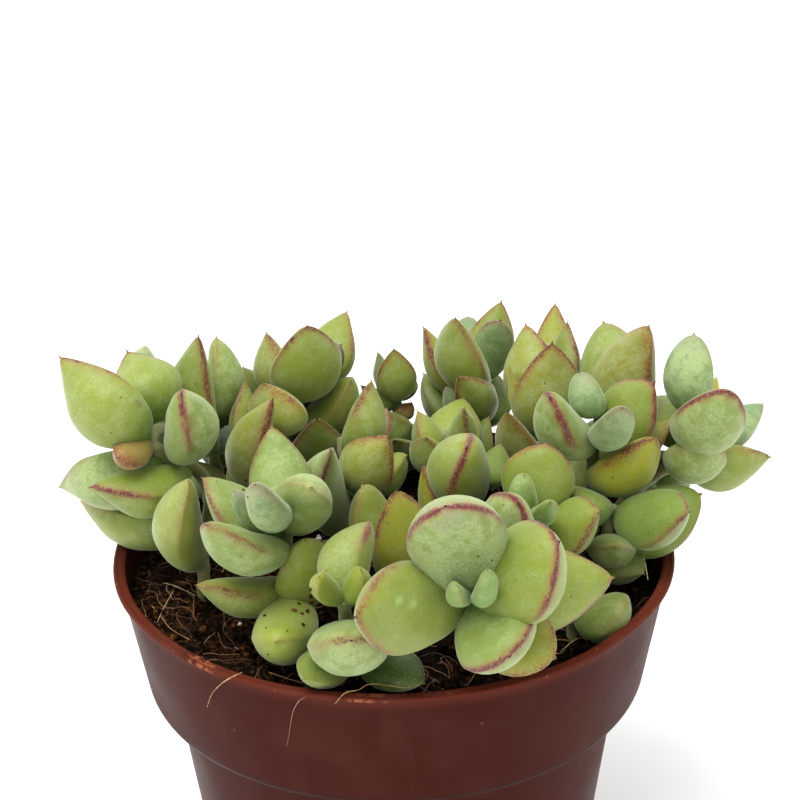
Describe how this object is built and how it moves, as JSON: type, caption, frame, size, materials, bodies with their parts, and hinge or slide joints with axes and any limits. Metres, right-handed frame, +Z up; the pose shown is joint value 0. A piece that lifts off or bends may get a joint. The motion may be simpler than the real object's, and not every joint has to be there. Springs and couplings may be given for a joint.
{
  "type": "potted plant",
  "caption": "Bushy succulent with plump pointed oval leaves, growing from dark soil in a round tapered nursery pot.",
  "frame": {"origin": "middle of the pot's flat base, on the surface it stands on", "axes": "+Z up along the pot's axis; -Y towards the side seen in the picture"},
  "size_m": [0.1535, 0.1514, 0.1404],
  "materials": {
    "pot": "brown, slightly glossy, scuffed at the rim",
    "soil": "dark, rough peat and coir",
    "leaf": "yellow-green, waxy and downy, with maroon margins"
  },
  "bodies": {
    "root": {"leafy_stem_back_left": "leaf", "leafy_stem_back_middle": "leaf", "leafy_stem_back_right": "leaf", "leafy_stem_centre": "leaf", "leafy_stem_centre_front": "leaf", "leafy_stem_far_back_right": "leaf", "leafy_stem_far_left": "leaf", "leafy_stem_far_right": "leaf", "leafy_stem_front": "leaf", "leafy_stem_front_left": "leaf", "leafy_stem_front_middle": "leaf", "leafy_stem_front_right": "leaf", "leafy_stem_inner_front": "leaf", "leafy_stem_inner_left": "leaf", "leafy_stem_inner_right": "leaf", "leafy_stem_left": "leaf", "leafy_stem_low_right": "leaf", "leafy_stem_middle": "leaf", "leafy_stem_middle_left": "leaf", "leafy_stem_right": "leaf", "leafy_stem_second_left": "leaf", "pot": "pot", "soil": "soil"}
  },
  "joints": []
}
